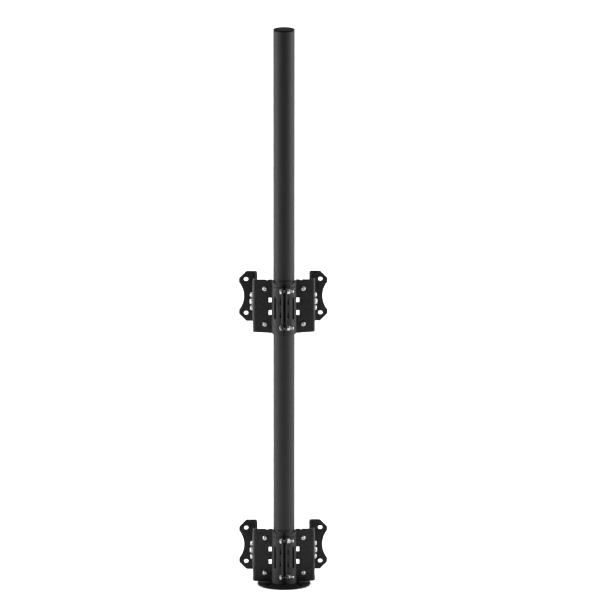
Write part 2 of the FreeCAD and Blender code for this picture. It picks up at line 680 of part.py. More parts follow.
def make_display_plate(bracket, side):
    """A butterfly-edged plate for the display, with a flange that reaches the tilt axis."""
    sign = SIDES[side]
    direction = float(sign)
    body = new_body(f"{bracket}_display_plate_{side}", BRACKETS[bracket])
    tip = "dims.plate_span / 2"
    face = new_sketch(body, "face_outline", "XZ_Plane", "-dims.plate_front - dims.clamp_sheet")
    draw_polygon(face, [
        (f"{sign} * work.wing_inner", "work.plate_bottom"),
        (f"{sign} * ({tip} - dims.plate_corner)", "work.plate_bottom"),
        (f"{sign} * {tip}", "work.plate_bottom + dims.plate_corner"),
        (f"{sign} * {tip}", "work.plate_top - dims.plate_corner"),
        (f"{sign} * ({tip} - dims.plate_corner)", "work.plate_top"),
        (f"{sign} * work.wing_inner", "work.plate_top"),
    ])
    pad(body, face, "dims.clamp_sheet", "face")

    waist = new_sketch(body, "waist_circle", "XZ_Plane")
    draw_circle(waist, (f"{sign} * ({tip} - dims.plate_waist_depth + dims.plate_waist_radius)",
                        "dims.plate_rise"), "dims.plate_waist_radius")
    shaped = cut_through(body, waist, "waist_cut")
    radius = dims.plate_waist_radius
    reach = radius - dims.plate_waist_depth
    half_chord = (radius ** 2 - reach ** 2) ** 0.5
    for rise in (-1, 1):
        corner = level_back_at(direction * dims.plate_span / 2,
                               dims.plate_rise + rise * half_chord)
        name = "tip_upper" if rise > 0 else "tip_lower"
        shaped = round_edges(body, shaped, corner, "dims.plate_tip_radius", name)
    for rise in (-1, 1):
        corner = level_back_at(direction * dims.plate_span / 2,
                               dims.plate_rise
                               + rise * (dims.plate_height / 2 - dims.plate_corner))
        name = "ear_upper" if rise > 0 else "ear_lower"
        shaped = round_edges(body, shaped, corner, "dims.plate_tip_radius", name)
    for rise in (-1, 1):
        corner = level_back_at(direction * (dims.plate_span / 2 - dims.plate_corner),
                               dims.plate_rise + rise * dims.plate_height / 2)
        name = "shoulder_upper" if rise > 0 else "shoulder_lower"
        shaped = round_edges(body, shaped, corner, "dims.plate_tip_radius", name)

    start = "work.wing_inner" if direction > 0 else "-work.wing_outer"
    flange = new_sketch(body, "flange_outline", "YZ_Plane", start)
    nose = "dims.tilt_back - dims.block_width / 2 - dims.clamp_sheet"
    nose_rise = "(dims.block_height / 2 + dims.clamp_sheet)"
    throat = "dims.rod_back - dims.rod_diameter"
    rear = "dims.plate_front + work.half_sheet"
    draw_polygon(flange, [
        (rear, "work.plate_bottom"),
        (rear, "work.plate_top"),
        ("dims.plate_front - dims.flange_top", "work.plate_top"),
        (throat, "dims.upper_rod_rise + dims.rod_diameter"),
        (throat, nose_rise),
        (nose, nose_rise),
        (nose, f"-{nose_rise}"),
        (throat, f"-{nose_rise}"),
        (throat, "-dims.lower_rod_drop"),
        ("dims.plate_front - dims.flange_top", "work.plate_bottom"),
    ])
    flanged = pad(body, flange, "dims.clamp_sheet", "flange")
    half_block = dims.block_height / 2 + dims.clamp_sheet
    front = dims.tilt_back - dims.block_width / 2 - dims.clamp_sheet
    for rise in (-1, 1):
        name = "flange_nose_upper" if rise > 0 else "flange_nose_lower"
        flanged = round_edges(body, flanged, across_at(front, rise * half_block),
                              "dims.end_radius", name)
    outer_bend = round_edges(body, flanged,
                             upright_at(direction * work.wing_inner,
                                        dims.plate_front + dims.clamp_sheet),
                             "dims.bend_radius", "outer_bend")
    inner_bend = round_edges(body, outer_bend,
                             upright_at(direction * work.wing_outer, dims.plate_front),
                             "dims.bend_radius", "inner_bend")

    slots = new_sketch(body, "display_slots_and_bevels", "XZ_Plane")
    for up in ("-1", "1"):
        draw_slot(slots, (f"{sign} * dims.display_hole_span / 2",
                          f"dims.plate_rise + ({up}) * dims.display_hole_rise / 2"),
                  "dims.display_slot_bore", "dims.display_slot_extra")
        end = f"dims.plate_rise + ({up}) * dims.plate_height / 2"
        inside = f"({end}) - ({up}) * dims.flange_bevel"
        draw_polygon(slots, [
            (f"{sign} * work.wing_inner", inside),
            (f"{sign} * (work.wing_inner + dims.flange_bevel)", end),
            (f"{sign} * (work.wing_inner - dims.flange_bevel)", end),
        ])
    cut_through(body, slots, "display_slot_cut")

    holes = new_sketch(body, "flange_holes", "YZ_Plane")
    draw_circle(holes, ("dims.tilt_back", "0"),
                "(dims.large_thread + dims.pivot_clearance) / 2")
    for up in ("-1", "1"):
        draw_circle(holes, ("dims.tilt_back", f"{up} * dims.lock_rise"),
                    "(dims.small_thread + dims.pivot_clearance) / 2")
    for rise in ("dims.upper_rod_rise", "-dims.lower_rod_drop"):
        draw_circle(holes, ("dims.rod_back", rise),
                    "(dims.small_thread + dims.pivot_clearance) / 2")
    cut_through(body, holes, "flange_hole_cut")


def make_spacer_block(bracket, side):
    """The friction block between a side arm and its display plate flange."""
    direction = float(SIDES[side])
    body = new_body(f"{bracket}_spacer_block_{side}", BRACKETS[bracket])
    start = "work.wing_outer" if direction > 0 else "-work.wing_outer - dims.block_thickness"
    outline = new_sketch(body, "outline", "YZ_Plane", start)
    draw_rectangle(outline, "dims.tilt_back - dims.block_width / 2",
                   "dims.tilt_back + dims.block_width / 2",
                   "-dims.block_height / 2", "dims.block_height / 2")
    block = pad(body, outline, "dims.block_thickness", "block")
    rounded = block
    for back in (-1, 1):
        for rise in (-1, 1):
            corner = across_at(dims.tilt_back + back * dims.block_width / 2,
                               rise * dims.block_height / 2)
            name = f"corner_{'rear' if back > 0 else 'front'}_{'upper' if rise > 0 else 'lower'}"
            rounded = round_edges(body, rounded, corner, "dims.corner_radius", name)
    holes = new_sketch(body, "holes", "YZ_Plane")
    draw_circle(holes, ("dims.tilt_back", "0"),
                "(dims.large_thread + dims.pivot_clearance) / 2")
    for up in ("-1", "1"):
        draw_circle(holes, ("dims.tilt_back", f"{up} * dims.lock_rise"),
                    "(dims.small_thread + dims.pivot_clearance) / 2")
    cut_through(body, holes, "hole_cut")


def make_spreader_rod(bracket, level, rise):
    """A rod between the two flanges, tapped at both ends."""
    body = new_body(f"{bracket}_spreader_rod_{level}", BRACKETS[bracket])
    section = new_sketch(body, "section", "YZ_Plane")
    draw_circle(section, ("dims.rod_back", rise), "dims.rod_diameter / 2")
    pad(body, section, "2 * work.wing_inner", "rod", symmetric=True)
    bore = new_sketch(body, "bore", "YZ_Plane")
    draw_circle(bore, ("dims.rod_back", rise), "(dims.small_thread + dims.slip_clearance) / 2")
    cut_through(body, bore, "bore_cut")


# ---------------------------------------------------------------- fasteners

def cylinder(label, radius, height):
    solid = doc.addObject("Part::Cylinder", label)
    solid.setExpression("Radius", radius)
    solid.setExpression("Height", height)
    return solid


def hexagon(label, corner_radius, height):
    solid = doc.addObject("Part::Prism", label)
    solid.Polygon = 6
    solid.setExpression("Circumradius", corner_radius)
    solid.setExpression("Height", height)
    return solid


def lowered(solid, depth):
    solid.setExpression("Placement.Base.z", f"-({depth})")
    return solid


def fuse(label, solids):
    joined = doc.addObject("Part::MultiFuse", label)
    joined.Shapes = solids
    return joined


def cut(label, base, tool):
    result = doc.addObject("Part::Cut", label)
    result.Base = base
    result.Tool = tool
    result.Label = label
    return result


def place_at(item, place, rotation):
    item.Placement = FreeCAD.Placement(Vector(), rotation)
    for axis, expression in zip("xyz", place):
        item.setExpression(f"Placement.Base.{axis}", expression)


def copy_of(solid, label, place, rotation):
    """The same piece again, somewhere else: a compound of one."""
    copy = doc.addObject("Part::Compound", label)
    copy.Links = [solid]
    place_at(copy, place, rotation)
    return copy


def group(label, solids, height):
    """Identical loose pieces kept together under one name."""
    together = doc.addObject("Part::Compound", label)
    together.Links = solids
    together.Label = label
    together.setExpression("Placement.Base.z", height)
    nodes.append(together)
    return together


def make_washer(label, size):
    disc = cylinder(f"{label}_disc", f"dims.{size}_washer", "dims.washer_thickness")
    hole = cylinder(f"{label}_hole", f"(dims.{size}_thread + dims.hole_clearance) / 2",
                    "dims.washer_thickness")
    return cut(label, disc, hole)


def make_nut(label, size):
    """A hexagon with a round locking collar; its seat is at the origin."""
    height = f"dims.{size}_nut_height"
    overall = f"{height} + dims.nut_collar_height"
    prism = hexagon(f"{label}_prism", f"dims.{size}_hex", height)
    collar = cylinder(f"{label}_collar", f"dims.{size}_collar", overall)
    hole = cylinder(f"{label}_hole", f"(dims.{size}_thread + dims.slip_clearance) / 2", overall)
    return cut(label, fuse(f"{label}_blank", [prism, collar]), hole)


def make_round_head_screw(label, size, length):
    """Domed head below the origin with a hexagon socket, shank above it."""
    head_height = f"dims.{size}_head_height"
    head = lowered(cylinder(f"{label}_head", f"dims.{size}_head", head_height), head_height)
    doc.recompute()
    dome = doc.addObject("Part::Fillet", f"{label}_dome")
    dome.Base = head
    bottom = min(edge.BoundBox.ZMin for edge in head.Shape.Edges)
    rims = edge_numbers_at(head.Shape, bottom)
    rounding = dims.get(dims.getCellFromAlias(f"{size}_head_rounding"))
    dome.Edges = [(index, rounding, rounding) for index in rims]
    shank = cylinder(f"{label}_shank", f"dims.{size}_thread / 2", length)
    blank = fuse(f"{label}_blank", [dome, shank])
    socket = lowered(hexagon(f"{label}_socket", f"dims.{size}_socket",
                             f"dims.{size}_socket_depth"), head_height)
    return cut(label, blank, socket)


def edge_numbers_at(shape, height):
    """Numbers of the edges that lie level at one height."""
    return [index for index, edge in enumerate(shape.Edges, start=1)
            if abs(edge.BoundBox.ZMax - height) < 0.01]


def make_hex_bolt(label, length):
    head = lowered(hexagon(f"{label}_head", "dims.small_hex", "dims.small_hex_height"),
                   "dims.small_hex_height")
    shank = cylinder(f"{label}_shank", "dims.small_thread / 2", length)
    return fuse(label, [head, shank])


SMALL_STACK = "dims.washer_thickness + dims.small_nut_height + dims.nut_collar_height"
CLAMP_STACK = "dims.saddle_setback + dims.saddle_sheet + work.half_sheet"
TILT_STACK = ("2 * dims.clamp_sheet + dims.block_thickness + dims.face_clearance"
              " + dims.washer_thickness")
TOWARDS_BACK = Rotation(Vector(1, 0, 0), -90)
TOWARDS_RIGHT = Rotation(Vector(0, 1, 0), 90)
TOWARDS_LEFT = Rotation(Vector(0, 1, 0), -90)


def make_fastener_patterns():
    """One of each fastener, seated at the origin with its shank along +Z."""
    pivot_end = "dims.large_nut_height + dims.nut_collar_height + dims.thread_end"
    lock_end = "dims.small_nut_height + dims.nut_collar_height + dims.thread_end"
    pinch_end = f"dims.washer_thickness + {SMALL_STACK} + dims.pinch_thread_end"
    return {
        "pinch_bolt": make_hex_bolt("pinch_bolt_pattern", f"2 * work.ear_outer + {pinch_end}"),
        "clamp_bolt": make_round_head_screw(
            "clamp_bolt_pattern", "small", f"{CLAMP_STACK} + {SMALL_STACK} + dims.thread_end"),
        "pivot_bolt": make_round_head_screw(
            "pivot_bolt_pattern", "large", f"{TILT_STACK} + {pivot_end}"),
        "lock_screw": make_round_head_screw(
            "lock_screw_pattern", "small", f"{TILT_STACK} + {lock_end}"),
        "rod_screw": make_round_head_screw(
            "rod_screw_pattern", "small", "dims.clamp_sheet + 2 * dims.small_thread"),
        "large_washer": make_washer("large_washer_pattern", "large"),
        "small_washer": make_washer("small_washer_pattern", "small"),
        "large_nut": make_nut("large_nut_pattern", "large"),
        "small_nut": make_nut("small_nut_pattern", "small"),
    }


def make_pinch_fasteners(bracket, patterns):
    bolts = []
    washers = []
    nuts = []
    back = "dims.ear_hole_back - work.ear_front"
    for up in ("-1", "1"):
        rise = f"{up} * dims.pinch_rise"
        name = "upper" if up == "1" else "lower"
        seat = "work.ear_outer + dims.washer_thickness"
        bolts.append(copy_of(patterns["pinch_bolt"], f"{bracket}_pinch_bolt_{name}",
                             (f"-({seat})", back, rise), TOWARDS_RIGHT))
        washers.append(copy_of(patterns["small_washer"], f"{bracket}_pinch_washer_l_{name}",
                               ("-work.ear_outer", back, rise), TOWARDS_LEFT))
        washers.append(copy_of(patterns["small_washer"], f"{bracket}_pinch_washer_r_{name}",
                               ("work.ear_outer", back, rise), TOWARDS_RIGHT))
        nuts.append(copy_of(patterns["small_nut"], f"{bracket}_pinch_nut_{name}",
                            (seat, back, rise), TOWARDS_RIGHT))
    group(f"{bracket}_pinch_bolts", bolts, BRACKETS[bracket])
    group(f"{bracket}_pinch_washers", washers, BRACKETS[bracket])
    group(f"{bracket}_pinch_nuts", nuts, BRACKETS[bracket])


def make_clamp_fasteners(bracket, patterns):
    bolts = []
    washers = []
    nuts = []
    foot_rear = "dims.saddle_setback + dims.saddle_sheet"
    for side, sign in SIDES.items():
        for up in ("-1", "1"):
            name = f"{side}_{'upper' if up == '1' else 'lower'}"
            across = f"{sign} * dims.clamp_bolt_middle"
            rise = f"{up} * dims.clamp_bolt_rise"
            bolts.append(copy_of(patterns["clamp_bolt"], f"{bracket}_clamp_bolt_{name}",
                                 (across, "-work.half_sheet", rise), TOWARDS_BACK))
            washers.append(copy_of(patterns["small_washer"], f"{bracket}_clamp_washer_{name}",
                                   (across, foot_rear, rise), TOWARDS_BACK))
            nuts.append(copy_of(patterns["small_nut"], f"{bracket}_clamp_nut_{name}",
                                (across, f"{foot_rear} + dims.washer_thickness", rise),
                                TOWARDS_BACK))
    group(f"{bracket}_clamp_bolts", bolts, BRACKETS[bracket])
    group(f"{bracket}_clamp_washers", washers, BRACKETS[bracket])
    group(f"{bracket}_clamp_nuts", nuts, BRACKETS[bracket])


def make_tilt_fasteners(bracket, patterns):
    pivots = []
    pivot_washers = []
    locks = []
    lock_washers = []
    lock_nuts = []
    pivot_nuts = []
    seat = "work.arm_outer + dims.washer_thickness"
    for side, sign in SIDES.items():
        inward = TOWARDS_LEFT if side == "right" else TOWARDS_RIGHT
        outward = TOWARDS_RIGHT if side == "right" else TOWARDS_LEFT
        place = (f"{sign} * ({seat})", "dims.tilt_back", "0")
        pivots.append(copy_of(patterns["pivot_bolt"], f"{bracket}_pivot_bolt_{side}",
                              place, inward))
        pivot_washers.append(copy_of(patterns["large_washer"],
                                     f"{bracket}_pivot_washer_{side}",
                                     (f"{sign} * work.arm_outer", "dims.tilt_back", "0"),
                                     outward))
        pivot_nuts.append(copy_of(patterns["large_nut"], f"{bracket}_pivot_nut_{side}",
                                  (f"{sign} * work.wing_inner", "dims.tilt_back", "0"), inward))
        for up in ("-1", "1"):
            name = f"{side}_{'upper' if up == '1' else 'lower'}"
            rise = f"{up} * dims.lock_rise"
            locks.append(copy_of(patterns["lock_screw"], f"{bracket}_lock_screw_{name}",
                                 (f"{sign} * ({seat})", "dims.tilt_back", rise), inward))
            lock_washers.append(copy_of(patterns["small_washer"],
                                        f"{bracket}_lock_washer_{name}",
                                        (f"{sign} * work.arm_outer", "dims.tilt_back", rise),
                                        outward))
            lock_nuts.append(copy_of(patterns["small_nut"], f"{bracket}_lock_nut_{name}",
                                     (f"{sign} * work.wing_inner", "dims.tilt_back", rise),
                                     inward))
    group(f"{bracket}_pivot_bolts", pivots, BRACKETS[bracket])
    group(f"{bracket}_pivot_nuts", pivot_nuts, BRACKETS[bracket])
    group(f"{bracket}_lock_screws", locks, BRACKETS[bracket])
    group(f"{bracket}_lock_nuts", lock_nuts, BRACKETS[bracket])
    group(f"{bracket}_tilt_washers", pivot_washers + lock_washers, BRACKETS[bracket])


def make_rod_screws(bracket, patterns):
    screws = []
    for side, sign in SIDES.items():
        inward = TOWARDS_LEFT if side == "right" else TOWARDS_RIGHT
        for name, rise in (("upper", "dims.upper_rod_rise"), ("lower", "-dims.lower_rod_drop")):
            screws.append(copy_of(patterns["rod_screw"], f"{bracket}_rod_screw_{side}_{name}",
                                  (f"{sign} * work.wing_outer", "dims.rod_back", rise), inward))
    group(f"{bracket}_rod_screws", screws, BRACKETS[bracket])


# ---------------------------------------------------------------- whole object

def make_bracket(bracket, patterns):
    for side in SIDES:
        make_pole_liner(bracket, side)
        make_clamp_half(bracket, side)
        make_clamp_strap(bracket, side)
        make_display_plate(bracket, side)
        make_spacer_block(bracket, side)
    make_saddle(bracket, "upper", "1")
    make_saddle(bracket, "lower", "-1")
    make_spreader_rod(bracket, "upper", "dims.upper_rod_rise")
    make_spreader_rod(bracket, "lower", "-dims.lower_rod_drop")
    make_pinch_fasteners(bracket, patterns)
    make_clamp_fasteners(bracket, patterns)
    make_tilt_fasteners(bracket, patterns)
    make_rod_screws(bracket, patterns)


def check_document():
    for item in doc.Objects:
        if "Invalid" in item.State or "Error" in item.State:
            raise RuntimeError(f"{item.Label} failed: {item.State}")
    for node in nodes:
        if node.Shape.isNull() or not node.Shape.isValid():
            raise RuntimeError(f"{node.Label} has no valid shape")
        if not node.Shape.Solids:
            raise RuntimeError(f"{node.Label} has no solid")


dims = make_sheet("dims", DIMENSIONS)
work = make_sheet("work", [(alias, "=" + formula) for alias, formula in WORKED_OUT])
make_base_plate()
make_pole_tube()
make_foot_plug()
make_foot_screw()
make_dowels()
make_pole_cap()
shared_patterns = make_fastener_patterns()
for bracket_name in BRACKETS:
    make_bracket(bracket_name, shared_patterns)
doc.recompute()
check_document()

os.makedirs("parts", exist_ok=True)
for node in nodes:
    node.Shape.exportStep(f"parts/{node.Label}.step")
    solids = len(node.Shape.Solids)
    print(f"{node.Label}: {solids} solid(s), {node.Shape.Volume / 1000:.2f} cm3")
print(len(nodes), "nodes")
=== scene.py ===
import json
import math

import bmesh
import bpy
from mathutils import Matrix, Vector


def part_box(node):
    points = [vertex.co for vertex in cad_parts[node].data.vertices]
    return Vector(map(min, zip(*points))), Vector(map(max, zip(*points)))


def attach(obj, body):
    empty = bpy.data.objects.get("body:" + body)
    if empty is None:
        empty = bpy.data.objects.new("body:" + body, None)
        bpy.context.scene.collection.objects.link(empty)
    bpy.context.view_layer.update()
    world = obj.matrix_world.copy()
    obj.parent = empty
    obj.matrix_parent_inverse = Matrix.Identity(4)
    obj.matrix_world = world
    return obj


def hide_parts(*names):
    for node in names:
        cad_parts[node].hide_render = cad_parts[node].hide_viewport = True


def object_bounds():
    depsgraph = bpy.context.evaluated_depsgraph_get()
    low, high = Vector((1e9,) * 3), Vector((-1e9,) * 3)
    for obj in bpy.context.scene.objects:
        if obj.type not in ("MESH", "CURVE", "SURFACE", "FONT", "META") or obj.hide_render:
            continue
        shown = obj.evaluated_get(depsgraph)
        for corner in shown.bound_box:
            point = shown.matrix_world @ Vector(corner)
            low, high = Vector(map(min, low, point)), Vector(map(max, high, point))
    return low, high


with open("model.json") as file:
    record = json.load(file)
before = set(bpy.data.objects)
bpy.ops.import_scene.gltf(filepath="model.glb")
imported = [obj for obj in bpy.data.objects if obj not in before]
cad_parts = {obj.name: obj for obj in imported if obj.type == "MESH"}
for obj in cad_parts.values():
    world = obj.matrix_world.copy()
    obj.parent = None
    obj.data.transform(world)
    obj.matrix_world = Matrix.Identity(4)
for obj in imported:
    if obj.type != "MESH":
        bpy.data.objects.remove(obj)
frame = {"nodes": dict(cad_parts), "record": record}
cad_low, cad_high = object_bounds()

# A round black pole on a disc base, with two clamp-on display brackets. The sheet parts,
# blocks and rods are the frame's own, with softened edges. The tube, the cap and the
# brackets' fasteners are turned anew at the frame's sizes and places. The centre screw and
# the dowels are hidden in the foot and stay as they are. Metres, +Z up, but sizes named
# in millimetres are given in millimetres.

MM = 0.001
NODES = frame["nodes"]
BODIES = frame["record"]["behaviour"]["bodies"]
BODY_OF = {node: body for body, members in BODIES.items() for node in members}
SLOT_OF = {part["node"]: part["material_slot"] for part in frame["record"]["subparts"]}
BRACKETS = ("lower", "upper")


# ---------------------------------------------------------------- shader arithmetic

class Signal:
    """One output socket of a material, so that shader maths reads as Python."""

    def __init__(self, finish, socket):
        self.finish = finish
        self.socket = socket

    def _math(self, operation, first, second=None):
        values = {0: first}
        if second is not None:
            values[1] = second
        return self.finish.node("ShaderNodeMath", {"operation": operation}, values)

    def __add__(self, other):
        return self._math("ADD", self, other)

    def __radd__(self, other):
        return self._math("ADD", other, self)

    def __sub__(self, other):
        return self._math("SUBTRACT", self, other)

    def __rsub__(self, other):
        return self._math("SUBTRACT", other, self)

    def __mul__(self, other):
        return self._math("MULTIPLY", self, other)

    def __rmul__(self, other):
        return self._math("MULTIPLY", other, self)

    def above(self, edge, softness):
        """0 below the edge and 1 over it, with a soft step between."""
        values = {"Value": self, "From Min": edge - softness, "From Max": edge + softness}
        return self.finish.node("ShaderNodeMapRange", {"clamp": True}, values)


class NodeSet:
    """The nodes of one material or of the studio's surroundings."""

    def __init__(self, tree):
        self.tree = tree

    def node(self, kind, settings=None, values=None, output=0):
        """Any node: its settings first, then the values or links of its inputs."""
        made = self.tree.nodes.new(kind)
        for label, value in (settings or {}).items():
            setattr(made, label, value)
        for label, value in (values or {}).items():
            if isinstance(value, Signal):
                self.tree.links.new(value.socket, made.inputs[label])
            else:
                made.inputs[label].default_value = value
        return Signal(self, made.outputs[output])


class Finish(NodeSet):
    """A material being built round one Principled shader."""

    def __init__(self, name, **constants):
        self.material = bpy.data.materials.new(name)
        self.material.use_nodes = True
        super().__init__(self.material.node_tree)
        self.shader = self.tree.nodes["Principled BSDF"]
        for label, value in constants.items():
            self.shader.inputs[label.replace("_", " ")].default_value = value
        self.place = self.node("ShaderNodeTexCoord", output="Object")

    def noise(self, size_mm, detail=2.0, roughness=0.5, stretch=None):
        """Noise from 0 to 1 whose features are about size_mm across."""
        place = self.place
        if stretch:
            place = self.node("ShaderNodeMapping", {}, {"Vector": place, "Scale": stretch})
        return self.node("ShaderNodeTexNoise", {}, {
            "Vector": place, "Scale": 1 / (size_mm * MM), "Detail": detail,
            "Roughness": roughness})

    def cells(self, size_mm):
        """Distance to the nearest of many scattered points about size_mm apart."""
        return self.node("ShaderNodeTexVoronoi", {}, {
            "Vector": self.place, "Scale": 1 / (size_mm * MM)})

    def mix(self, factor, low, high):
        """The low colour where the factor is 0 and the high one where it is 1."""
        values = {0: factor, 6: low, 7: high}
        return self.node("ShaderNodeMix", {"data_type": "RGBA"}, values, output=2)

    def worn_edges(self):
        """1 on softened edges where the coat has rubbed thin, 0 elsewhere."""
        edge = self.node("ShaderNodeAttribute", {"attribute_name": "edge"}, output="Fac")
        return edge * self.noise(6, 4).above(0.53, 0.06)

    def feed(self, label, signal):
        self.tree.links.new(signal.socket, self.shader.inputs[label])

    def bump(self, height, depth_mm, strength=1.0):
        self.feed("Normal", self.node("ShaderNodeBump", {}, {
            "Height": height, "Distance": depth_mm * MM, "Strength": strength}))


def grey(level, warmth=0.0):
    """A neutral colour, or one slightly redder than blue where warmth is above 0."""
    return (level * (1 + warmth), level, level * (1 - warmth), 1.0)


def powder_coat(name, level, texture_mm, roughness, gloss):
    """Baked black powder coat: fine orange peel, faint dust, rubbed edges."""
    finish = Finish(name, Metallic=0.0, Specular_IOR_Level=gloss)
    peel = finish.noise(texture_mm, 3, 0.6)
    grain = finish.cells(texture_mm * 0.45)
    dust = finish.noise(38, 5, 0.62)
    speck = 1 - finish.cells(1.6).above(0.07, 0.03)
    worn = finish.worn_edges()
    coat = finish.mix(dust, grey(level * 0.92), grey(level * 1.1, 0.01))
    coat = finish.mix(speck * finish.noise(9).above(0.6, 0.05) * 0.3, coat, grey(level * 1.8))
    finish.feed("Base Color", finish.mix(worn * 0.25, coat, grey(level * 2, 0.02)))
    finish.feed("Roughness", roughness + 0.14 * peel - 0.05 * dust - 0.06 * worn)
    finish.bump(peel * 0.65 + grain * 0.35, 0.02, 0.4)
    return finish.material


def plated_steel(name, level, roughness):
    """Zinc plating: bright, slightly mottled, with fine turning marks."""
    finish = Finish(name, Metallic=1.0)
    mottle = finish.noise(3.2, 4, 0.6)
    haze = finish.noise(1.1, 3)
    scratch = finish.noise(0.35, 2, 0.5, stretch=(1, 1, 9))
    finish.feed("Base Color", finish.mix(mottle, grey(level * 0.82, 0.012), grey(level, -0.01)))
    finish.feed("Roughness", roughness + 0.2 * haze - 0.08 * mottle)
    finish.bump(scratch * 0.7 + haze * 0.3, 0.012, 0.4)
    return finish.material


def moulded_plastic(name, level, roughness, gloss):
    """Moulded nylon: fine spark-eroded grain and a faint flow pattern."""
    finish = Finish(name, Metallic=0.0, Specular_IOR_Level=gloss)
    grain = finish.cells(0.55)
    flow = finish.noise(22, 3, 0.5, stretch=(1, 1, 0.35))
    worn = finish.worn_edges()
    tone = finish.mix(flow, grey(level * 0.85), grey(level * 1.15))
    finish.feed("Base Color", finish.mix(worn * 0.3, tone, grey(level * 2.2)))
    finish.feed("Roughness", roughness + 0.12 * flow + 0.08 * grain)
    finish.bump(grain, 0.03, 0.5)
    return finish.material


def studio_floor():
    """Pale matt paper with a very slow change of tone."""
    finish = Finish("studio_floor", Roughness=0.9, Specular_IOR_Level=0.1)
    tone = finish.noise(900, 2)
    finish.feed("Base Color", finish.mix(tone, grey(0.86), grey(0.9)))
    return finish.material


FINISHES = {
    "base_paint": powder_coat("base_paint", 0.004, 0.9, 0.5, 0.05),
    "pole_paint": powder_coat("pole_paint", 0.020, 0.8, 0.52, 0.10),
    "bracket_paint": powder_coat("bracket_paint", 0.016, 0.9, 0.55, 0.12),
    "rod_paint": powder_coat("rod_paint", 0.018, 0.9, 0.52, 0.15),
    "black_steel": powder_coat("black_steel", 0.015, 0.6, 0.45, 0.2),
    "plug_steel": plated_steel("plug_steel", 0.50, 0.38),
    "zinc_steel": plated_steel("zinc_steel", 0.48, 0.36),
    "cap_plastic": moulded_plastic("cap_plastic", 0.008, 0.75, 0.01),
    "liner_plastic": moulded_plastic("liner_plastic", 0.012, 0.55, 0.2),
    "block_plastic": moulded_plastic("block_plastic", 0.016, 0.55, 0.2),
}


# ---------------------------------------------------------------- mesh helpers

def finish_piece(piece, body, material_slot, *nodes):
    """Give a finished piece its material and its place in the frame."""
    if not piece.data.materials:
        piece.data.materials.append(FINISHES[material_slot])
    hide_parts(*nodes)
    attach(piece, body)
    return piece


def object_from(name, mesh):
    """An object at the origin that holds the mesh."""
    piece = bpy.data.objects.new(name, mesh)
    bpy.context.scene.collection.objects.link(piece)
    return piece


def smooth_by_angle(mesh, degrees):
    mesh.polygons.foreach_set("use_smooth", [True] * len(mesh.polygons))
    mesh.set_sharp_from_angle(angle=math.radians(degrees))


def merged(node):
    """A welded copy of a CAD node's triangles, with its flat faces made whole."""
    shape = bmesh.new()
    shape.from_mesh(NODES[node].data)
    bmesh.ops.remove_doubles(shape, verts=shape.verts, dist=0.002 * MM)
    bmesh.ops.dissolve_limit(shape, angle_limit=math.radians(0.4),
                             verts=shape.verts, edges=shape.edges)
    return shape


def softened_copy(node, width_mm, crease_degrees=28):
    """The CAD node with its sharp edges rounded off, and those edges marked for wear."""
    shape = merged(node)
    layer = shape.verts.layers.float.new("edge")
    creases = [edge for edge in shape.edges
               if len(edge.link_faces) == 2
               and edge.calc_face_angle(0) > math.radians(crease_degrees)]
    rounded = bmesh.ops.bevel(shape, geom=creases, offset=width_mm * MM, segments=2,
                              profile=0.6, affect="EDGES", clamp_overlap=True)
    for face in rounded["faces"]:
        for vertex in face.verts:
            vertex[layer] = 1.0
    mesh = bpy.data.meshes.new(node + "_softened")
    shape.to_mesh(mesh)
    shape.free()
    smooth_by_angle(mesh, 32)
    piece = object_from(node + "_body", mesh)
    weights = piece.modifiers.new("weighted_normals", "WEIGHTED_NORMAL")
    weights.keep_sharp = True
    return piece


def hexagon_radius(angle, across_flats):
    """Distance from the centre to a hexagon's side at an angle."""
    side = math.radians(60)
    return across_flats / 2 / math.cos((angle + side / 2) % side - side / 2)


def ring(radius, height):
    """A round ring of a turned piece, in millimetres."""
    return lambda angle: (radius, height)


def hex_ring(across_flats, height):
    return lambda angle: (hexagon_radius(angle, across_flats), height)


def hex_chamfer_ring(across_flats, height, slope):
    """Where a hexagon meets the cone that takes its corners off; slope is signed."""
    def at(angle):
        radius = hexagon_radius(angle, across_flats)
        return radius, height + slope * (radius - across_flats / 2 * 0.97)
    return at


def turned(name, rings, segments=48, closed=False):
    """A mesh about the Z axis through the given rings; a ring of no radius is a pole."""
    shape = bmesh.new()
    loops = []
    for make in rings:
        if make(0)[0] < 1e-6:
            loops.append([shape.verts.new((0, 0, make(0)[1] * MM))])
            continue
        loop = []
        for index in range(segments):
            angle = 2 * math.pi * index / segments
            radius, height = make(angle)
            loop.append(shape.verts.new((radius * MM * math.cos(angle),
                                         radius * MM * math.sin(angle), height * MM)))
        loops.append(loop)
    pairs = list(zip(loops, loops[1:]))
    if closed:
        pairs.append((loops[-1], loops[0]))
    for lower, upper in pairs:
        for index in range(segments):
            after = (index + 1) % segments
            corners = [lower[index % len(lower)], lower[after % len(lower)],
                       upper[after % len(upper)], upper[index % len(upper)]]
            shape.faces.new(list(dict.fromkeys(corners)))
    bmesh.ops.recalc_face_normals(shape, faces=shape.faces)
    mesh = bpy.data.meshes.new(name)
    shape.to_mesh(mesh)
    shape.free()
    smooth_by_angle(mesh, 30)
    return mesh


# ---------------------------------------------------------------- fastener shapes

LARGE = {"thread": 8.0, "pitch": 1.25, "head": 13.2, "head_height": 4.4, "socket": 5.0,
         "flats": 13.0, "hex_height": 5.3, "nut_height": 6.4}
SMALL = {"thread": 6.0, "pitch": 1.0, "head": 10.8, "head_height": 3.3, "socket": 4.0,
         "flats": 10.0, "hex_height": 4.0, "nut_height": 5.0}
COLLAR = 1.5
RUNNING_GAP = 0.03
PLAIN_NECK = 2.0
THREAD_DEPTH = 0.55
CREST_START = 0.92
TIP_LENGTH = 0.8
TIP_BEVEL = 0.35
HEAD_RIM = 0.7
DOME_STEPS = 7
HEX_BEVEL_SLOPE = 0.58


